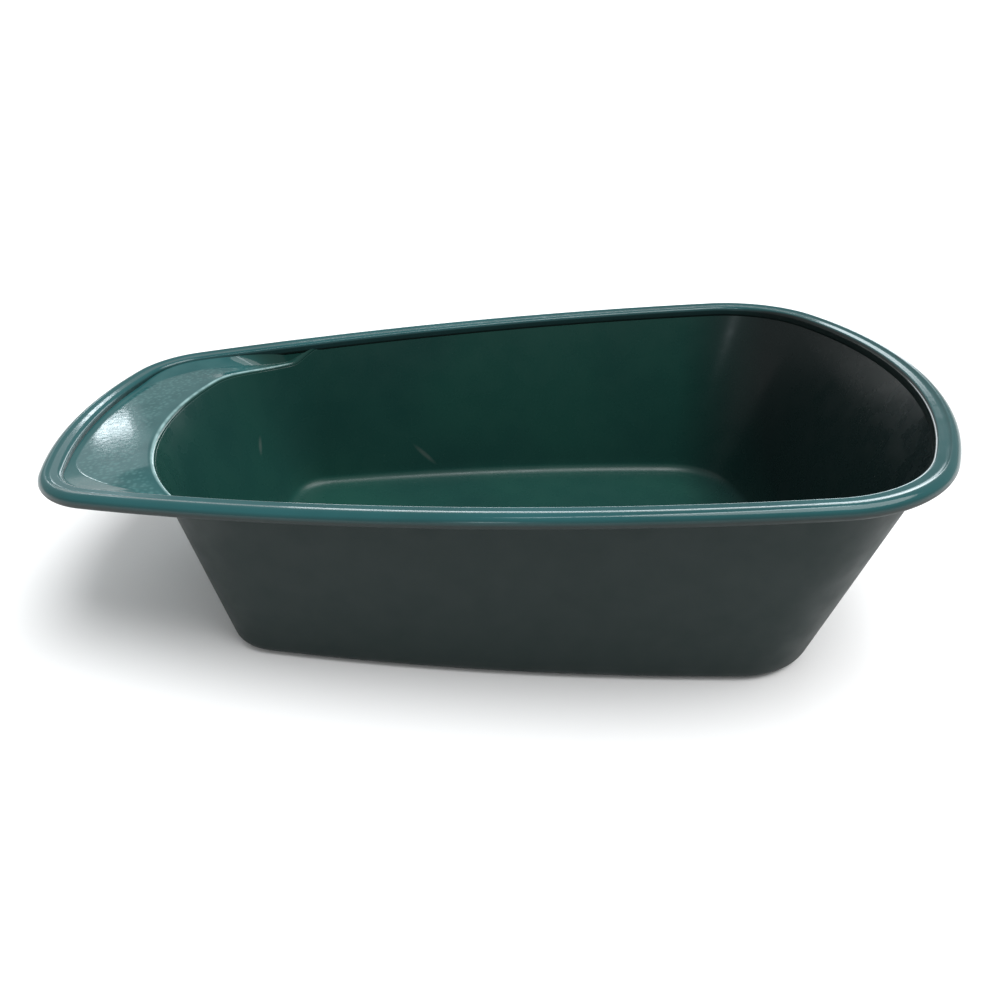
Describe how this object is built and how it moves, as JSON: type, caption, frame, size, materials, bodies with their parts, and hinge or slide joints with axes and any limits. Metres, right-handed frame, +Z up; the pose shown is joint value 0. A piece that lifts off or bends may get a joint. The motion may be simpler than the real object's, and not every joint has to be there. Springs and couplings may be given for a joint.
{
  "type": "panning tub",
  "caption": "Long egg-shaped plastic tub with sloping walls, a rim that rises to the wide end and a shallow crescent tray moulded into the narrow end.",
  "frame": {"origin": "on the ground under the middle of the tub's length and width", "axes": "+X along the length towards the wide, high end, away from the tray; +Y across; +Z up, out of the basin"},
  "size_m": [0.8, 0.481, 0.2072],
  "materials": {
    "basin_plastic": "dark green polypropylene, smooth and glossy inside, satin outside",
    "tray_plastic": "green polypropylene with a fine hammered grain",
    "rim_plastic": "green polypropylene, smooth and glossy"
  },
  "bodies": {
    "root": {"basin_floor": "basin_plastic", "narrow_end_wall": "basin_plastic", "wide_end_wall": "basin_plastic", "left_side_wall": "basin_plastic", "right_side_wall": "basin_plastic", "tray_shelf": "tray_plastic", "rolled_rim": "rim_plastic"}
  },
  "joints": []
}
